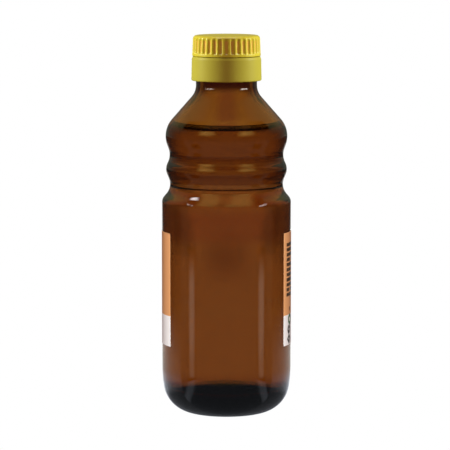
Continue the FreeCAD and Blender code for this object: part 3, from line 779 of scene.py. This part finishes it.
def make_cards():
    """Small cards round the bottle, lit from below only. The glass mirrors them to the camera as the glints
    on corner and neck and the golden patches on corner, rib and bulge."""
    corner, rib, bulge, neck = WAIST[0], WAIST[2], WAIST[4], WAIST[-1]
    white, gold = (1.0, 0.97, 0.95), (1.0, 0.66, 0.16)
    eye, longest_step = bpy.context.scene.camera.location, 8
    # arc of the glass, level in millimetres, colour, strength and glow, then at both ends the azimuth and
    # the lowest and highest lift, in degrees
    cards = ((corner, 100.5, white, 8.0, low_glow, (-37.0, 20.0, 25.0), (-27.0, 8.0, 13.0)),
             (corner, 99.2, white, 11.0, soft_sides, (-37.0, 43.0, 50.0), (-25.0, 45.0, 52.0)),
             (corner, 100.5, white, 7.0, low_glow, (29.0, 8.0, 14.0), (38.0, 18.0, 25.0)),
             (corner, 100.2, gold, 1.6, band_glow, (-29.0, 8.0, 52.0), (29.0, 9.0, 52.0)),
             (rib, 113.0, gold, 2.6, curtain_glow, (-31.0, 8.0, 33.0), (-8.0, 8.0, 33.0)),
             (rib, 113.0, gold, 2.3, curtain_glow, (8.0, 8.0, 33.0), (31.0, 8.0, 33.0)),
             (bulge, 130.0, gold, 2.6, curtain_glow, (-30.0, 8.0, 21.0), (-8.0, 8.0, 21.0)),
             (bulge, 130.0, gold, 2.5, curtain_glow, (8.0, 8.0, 21.0), (30.0, 8.0, 21.0)),
             (neck, 148.0, white, 5.0, glint_glow, (-45.0, 5.0, 10.0), (-22.0, 5.0, 10.0)),
             (neck, 148.0, white, 11.0, glint_glow, (24.0, 5.0, 10.0), (44.0, 5.0, 10.0)))
    for number, (arc, level, colour, strength, glow, first, last) in enumerate(cards, 1):
        steps = max(1, round((last[0] - first[0]) / longest_step))
        cuts = [[a + (b - a) * step / steps for a, b in zip(first, last)] for step in range(steps + 1)]
        edge = [(azimuth, low) for azimuth, low, _ in cuts]
        edge += [(azimuth, high) for azimuth, _, high in cuts[::-1]]
        corners = [mirrored_spot(eye, arc, azimuth, lift, level * MM) for azimuth, lift in edge]
        if (corners[1] - corners[0]).cross(corners[-1] - corners[0]).z > 0:
            corners.reverse()
        make_panel("glint_%d" % number, corners, colour, strength, glow, one_sided=True)


# ---------------------------------------------------------------- lights and camera

def make_softbox(name, azimuth, elevation, watts, colour):
    """A soft box that faces the bottle. Azimuth is from -Y, to the right."""
    away, width, height, target = 1.1, 0.3, 0.4, Vector((0, 0, 0.09))
    light = bpy.data.lights.new(name, "AREA")
    light.shape, light.size, light.size_y = "RECTANGLE", width, height
    light.energy, light.color = watts, colour
    lamp = bpy.data.objects.new(name, light)
    bpy.context.scene.collection.objects.link(lamp)
    turn, tilt = math.radians(azimuth), math.radians(elevation)
    toward = Vector((math.sin(turn) * math.cos(tilt), -math.cos(turn) * math.cos(tilt), math.sin(tilt)))
    lamp.location = target + toward * away
    lamp.rotation_euler = (-toward).to_track_quat("-Z", "Y").to_euler()
    lamp.visible_camera = lamp.visible_transmission = False
    return lamp


def make_lights(closure, labels):
    """Soft boxes at both sides for collar and cap, two high ones that only add gloss to the cap, and one in
    front and one behind for the labels. The glass has its own reflections, so they leave it alone."""
    groups = {}
    for name, pieces in (("closure", closure), ("cap", closure[1:]), ("labels", labels)):
        groups[name] = bpy.data.collections.new("lit_" + name)
        for piece in pieces:
            groups[name].objects.link(piece)
    for name, azimuth, elevation, watts, colour, group in (
            ("left", -92, 20, 12.2, (0.94, 1.0, 0.9), "closure"),
            ("right", 92, 20, 12.2, (0.94, 1.0, 0.9), "closure"),
            ("upper_left", -66, 76, 5.0, WHITE, "cap"), ("upper_right", 66, 76, 5.0, WHITE, "cap"),
            ("front", 0, 12, 23.5, WHITE, "labels"), ("back", 180, 12, 15.0, WHITE, "labels")):
        softbox = make_softbox("softbox_" + name, azimuth, elevation, watts, colour)
        softbox.light_linking.receiver_collection = groups[group]
        softbox.visible_diffuse = group != "cap"


def make_camera():
    """The picture's view: a long lens, looking down a little."""
    away, pitch, aim_height, aside = 1.255, math.radians(6.6), 83.3 * MM, -0.65 * MM
    camera = bpy.data.cameras.new("camera")
    camera.sensor_width, camera.lens = 36.0, 228.3
    camera.clip_start, camera.clip_end = 0.05, 20.0
    holder = bpy.data.objects.new("camera", camera)
    bpy.context.scene.collection.objects.link(holder)
    holder.location = (aside, -away, aim_height + away * math.tan(pitch))
    holder.rotation_euler = (math.pi / 2 - pitch, 0, 0)
    bpy.context.scene.camera = holder


# ---------------------------------------------------------------- build

bpy.context.scene.view_settings.view_transform = "Standard"
make_camera()
make_bottle()
make_oil()
closure = [make_collar(), make_cap()]
labels = [make_label("left", LEFT_LABEL), make_label("right", RIGHT_LABEL)]
make_world()
make_table()
make_shade_sheets()
make_cards()
make_lights(closure, labels)
